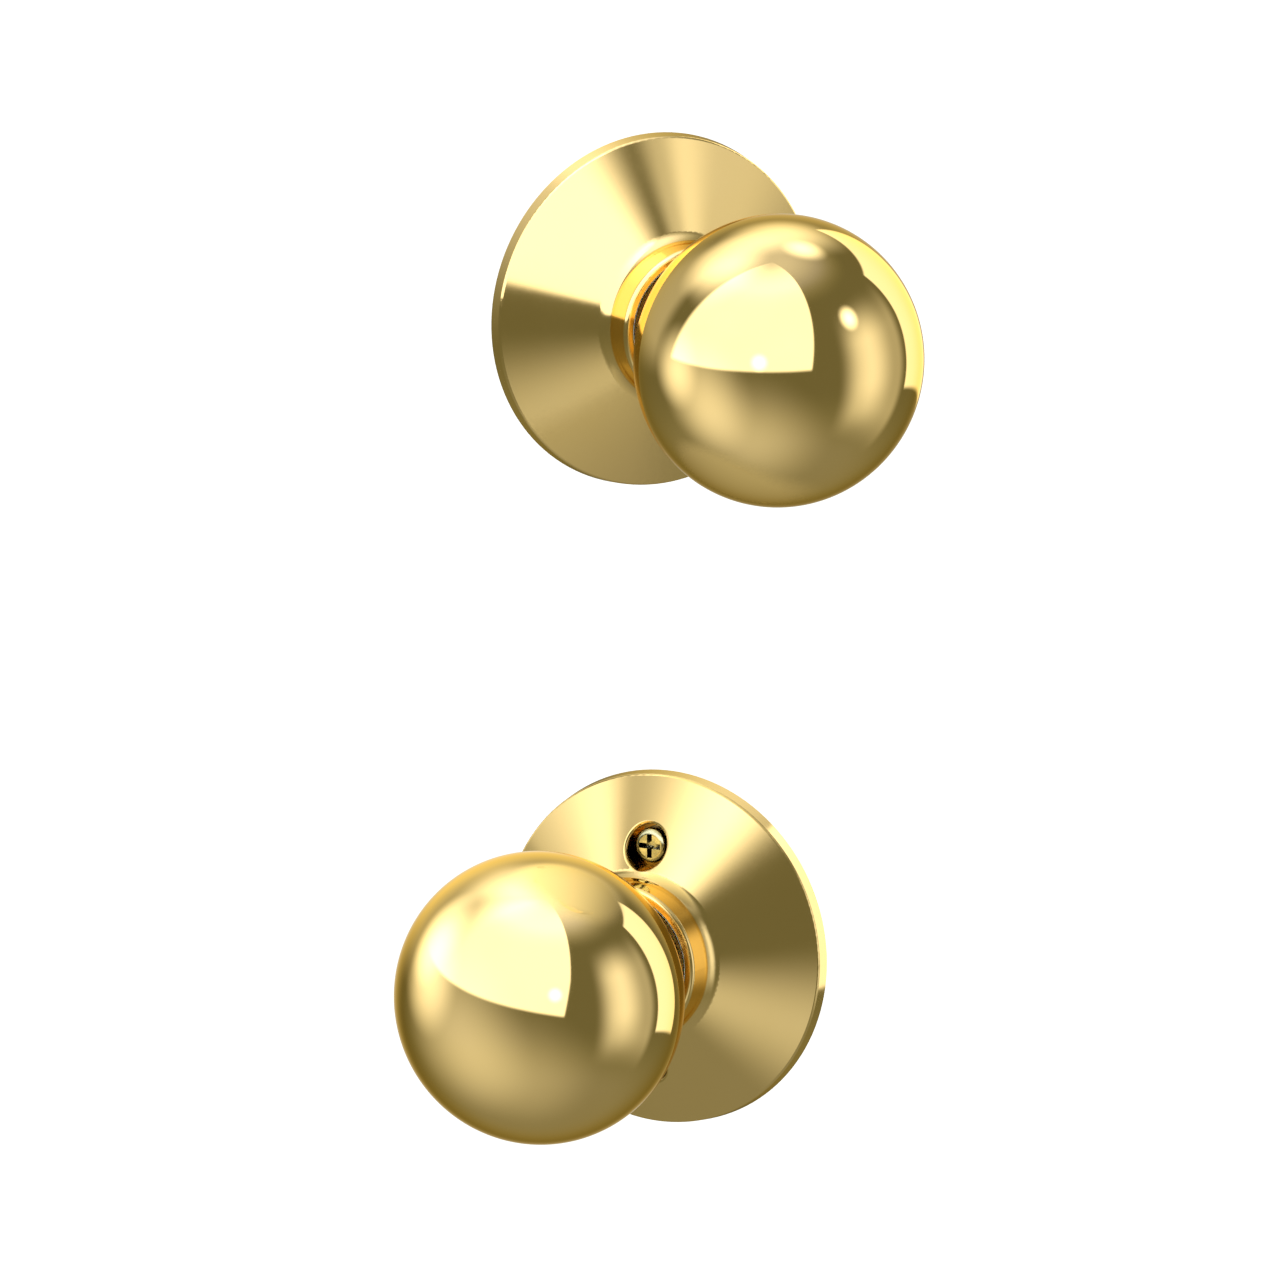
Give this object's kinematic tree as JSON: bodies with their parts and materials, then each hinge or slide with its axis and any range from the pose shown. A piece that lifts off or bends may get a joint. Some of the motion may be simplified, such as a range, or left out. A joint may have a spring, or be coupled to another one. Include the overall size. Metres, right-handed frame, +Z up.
{
  "type": "passage door knob set",
  "caption": "Polished brass ball knobs on round conical roses, outside half and inside half apart as sold, each turning against a spring in its own rose.",
  "frame": {"origin": "middle of the inside rose's back face, on the inside knob's turning axis", "axes": "+Z up, -Y out through the inside knob, +Y into the door; the outside half hangs 119.4 mm above it with its knob turned 54.6 degrees about +Z from -Y, as the set is shown off the door"},
  "size_m": [0.1078, 0.105, 0.185],
  "materials": {
    "polished_brass": "mirror polished and lacquered",
    "screw_brass": "brass plated steel, a little dull",
    "zinc_plated_steel": "zinc plated, satin",
    "spring_steel": "oiled spring steel",
    "cast_zinc": "as cast",
    "nylon": "moulded, black"
  },
  "bodies": {
    "trim": {"inside_rose": "polished_brass", "inside_collar_bushing": "nylon", "inside_mounting_plate": "zinc_plated_steel", "inside_spring_cage": "zinc_plated_steel", "inside_cage_rivets": "zinc_plated_steel", "inside_return_spring": "spring_steel", "inside_thrust_washer": "nylon", "mounting_screws": "screw_brass", "outside_rose": "polished_brass", "outside_collar_bushing": "nylon", "outside_mounting_plate": "zinc_plated_steel", "outside_spring_cage": "zinc_plated_steel", "outside_cage_rivets": "zinc_plated_steel", "outside_return_spring": "spring_steel", "outside_thrust_washer": "nylon", "mounting_posts": "zinc_plated_steel"},
    "inside_knob": {"inside_knob_shell": "polished_brass", "inside_knob_neck": "polished_brass", "inside_knob_core": "cast_zinc", "inside_shank": "zinc_plated_steel", "inside_core_pin": "spring_steel", "inside_driver": "cast_zinc", "inside_wave_washer": "spring_steel", "inside_retaining_ring": "spring_steel"},
    "outside_knob": {"outside_knob_shell": "polished_brass", "outside_knob_neck": "polished_brass", "outside_knob_core": "cast_zinc", "outside_shank": "zinc_plated_steel", "outside_core_pin": "spring_steel", "outside_driver": "cast_zinc", "outside_wave_washer": "spring_steel", "outside_retaining_ring": "spring_steel", "spindle": "zinc_plated_steel", "spindle_pin": "spring_steel"}
  },
  "joints": [
    {"name": "inside_knob_turn", "type": "hinge", "parent": "trim", "child": "inside_knob", "pos_m": [0, 0, 0], "axis": [0, -1, 0], "range_deg": [-55, 55], "stiffness_Nm_per_rad": 0.26, "deforming": ["inside_return_spring"]},
    {"name": "outside_knob_turn", "type": "hinge", "parent": "trim", "child": "outside_knob", "pos_m": [-0.00284, -0.00147, 0.1194], "axis": [0.8151, -0.5793, 0], "range_deg": [-55, 55], "stiffness_Nm_per_rad": 0.26, "deforming": ["outside_return_spring"]}
  ]
}
